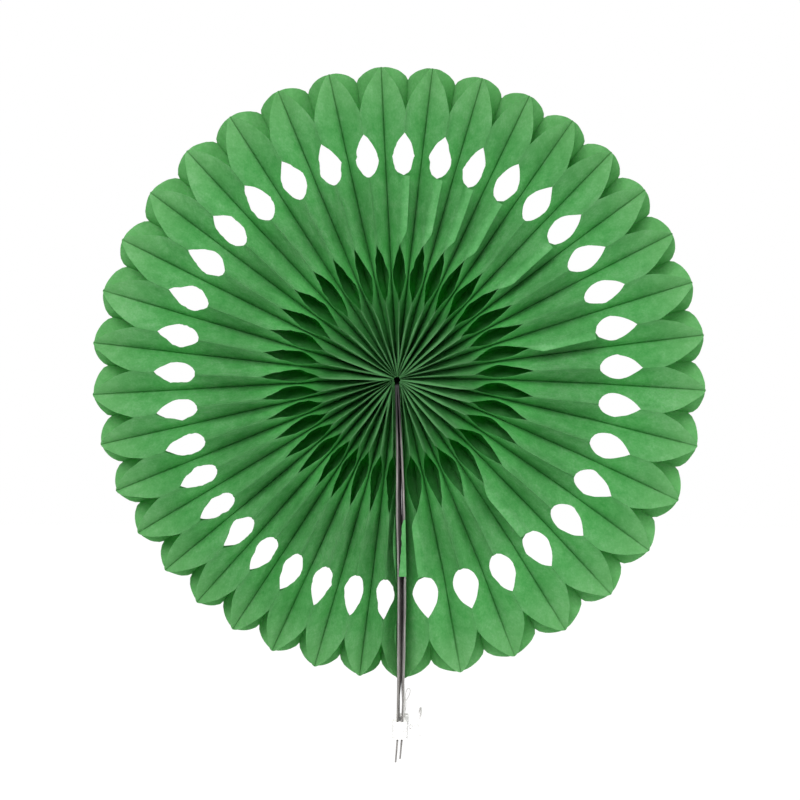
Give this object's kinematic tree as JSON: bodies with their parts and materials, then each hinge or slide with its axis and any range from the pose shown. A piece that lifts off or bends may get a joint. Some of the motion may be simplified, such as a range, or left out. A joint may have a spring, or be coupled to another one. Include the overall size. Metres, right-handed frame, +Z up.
{
  "type": "paper fan rosette",
  "caption": "Round fan of die-cut tissue paper opened full circle between two cover cards whose tails are tied with thread, made to be hung.",
  "frame": {"origin": "centre of the spine at mid depth, where all mid lines meet", "axes": "-Y out of the front face along the spine, +Z up, with the card tails pointing down -Z, +X to the right as seen from the front"},
  "size_m": [0.2996, 0.0382, 0.337],
  "materials": {
    "tissue": "thin dyed tissue paper, matt, slightly translucent",
    "card": "bare grey board, matt, fibrous cut edges",
    "thread": "white twisted cotton thread"
  },
  "bodies": {
    "root": {"cell_01": "tissue", "cell_02": "tissue", "cell_03": "tissue", "cell_04": "tissue", "cell_05": "tissue", "cell_06": "tissue", "cell_07": "tissue", "cell_08": "tissue", "cell_09": "tissue", "cell_10": "tissue", "cell_11": "tissue", "cell_12": "tissue", "cell_13": "tissue", "cell_14": "tissue", "cell_15": "tissue", "cell_16": "tissue", "cell_17": "tissue", "cell_18": "tissue", "cell_19": "tissue", "cell_20": "tissue", "cell_21": "tissue", "cell_22": "tissue", "cell_23": "tissue", "cell_24": "tissue", "cell_25": "tissue", "cell_26": "tissue", "cell_27": "tissue", "cell_28": "tissue", "cell_29": "tissue", "cell_30": "tissue", "cell_31": "tissue", "cell_32": "tissue", "cell_33": "tissue", "cell_34": "tissue", "cell_35": "tissue", "cell_36": "tissue", "cell_37": "tissue", "left_lining": "tissue", "right_lining": "tissue", "left_card": "card", "right_card": "card", "tie_winding": "thread", "tie_knot": "thread", "thread_loop": "thread"}
  },
  "joints": []
}
